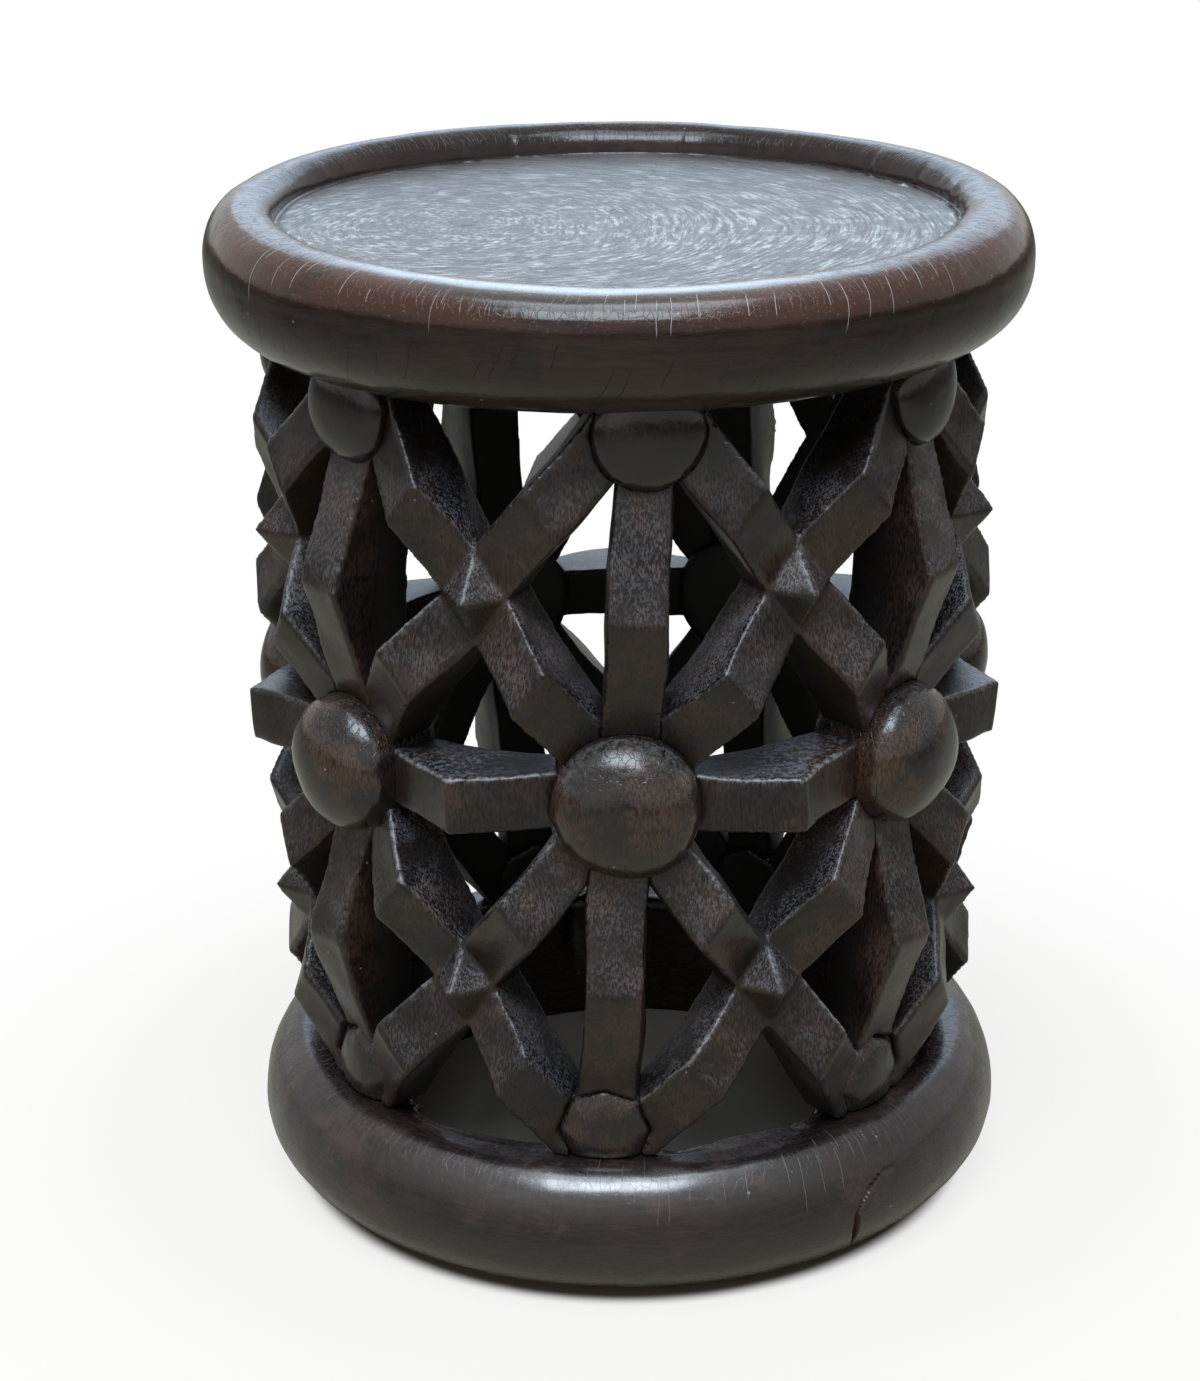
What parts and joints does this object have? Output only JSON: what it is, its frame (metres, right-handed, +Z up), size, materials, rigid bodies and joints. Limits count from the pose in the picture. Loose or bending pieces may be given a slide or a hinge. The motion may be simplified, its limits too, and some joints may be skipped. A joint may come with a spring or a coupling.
{
  "type": "carved ceremonial stool",
  "caption": "Round carved hardwood stool with a dished seat, a rolled ring foot and an open drum of domed spider bodies, kneed bars and crossed arms between them.",
  "frame": {"origin": "on the floor under the middle of the foot ring", "axes": "+Z up through the seat, -Y towards the viewer of the picture, +X to the right"},
  "size_m": [0.353, 0.353, 0.45],
  "materials": {
    "seat_wood": "dark oiled hardwood, hand polished, worn red-brown on the rim",
    "ring_wood": "dark oiled hardwood, semi-gloss, drying checks",
    "boss_wood": "dark oiled hardwood, polished domes",
    "bar_wood": "near-black oiled hardwood, knife-cut facets"
  },
  "bodies": {
    "root": {"seat": "seat_wood", "base_ring": "ring_wood", "spider_body_1": "boss_wood", "seat_cap_1": "boss_wood", "ring_foot_1": "boss_wood", "upper_post_1": "bar_wood", "lower_post_1": "bar_wood", "waist_bar_1": "bar_wood", "upper_cross_1": "bar_wood", "lower_cross_1": "bar_wood", "spider_body_2": "boss_wood", "seat_cap_2": "boss_wood", "ring_foot_2": "boss_wood", "upper_post_2": "bar_wood", "lower_post_2": "bar_wood", "waist_bar_2": "bar_wood", "upper_cross_2": "bar_wood", "lower_cross_2": "bar_wood", "spider_body_3": "boss_wood", "seat_cap_3": "boss_wood", "ring_foot_3": "boss_wood", "upper_post_3": "bar_wood", "lower_post_3": "bar_wood", "waist_bar_3": "bar_wood", "upper_cross_3": "bar_wood", "lower_cross_3": "bar_wood", "spider_body_4": "boss_wood", "seat_cap_4": "boss_wood", "ring_foot_4": "boss_wood", "upper_post_4": "bar_wood", "lower_post_4": "bar_wood", "waist_bar_4": "bar_wood", "upper_cross_4": "bar_wood", "lower_cross_4": "bar_wood", "spider_body_5": "boss_wood", "seat_cap_5": "boss_wood", "ring_foot_5": "boss_wood", "upper_post_5": "bar_wood", "lower_post_5": "bar_wood", "waist_bar_5": "bar_wood", "upper_cross_5": "bar_wood", "lower_cross_5": "bar_wood", "spider_body_6": "boss_wood", "seat_cap_6": "boss_wood", "ring_foot_6": "boss_wood", "upper_post_6": "bar_wood", "lower_post_6": "bar_wood", "waist_bar_6": "bar_wood", "upper_cross_6": "bar_wood", "lower_cross_6": "bar_wood", "spider_body_7": "boss_wood", "seat_cap_7": "boss_wood", "ring_foot_7": "boss_wood", "upper_post_7": "bar_wood", "lower_post_7": "bar_wood", "waist_bar_7": "bar_wood", "upper_cross_7": "bar_wood", "lower_cross_7": "bar_wood"}
  },
  "joints": []
}
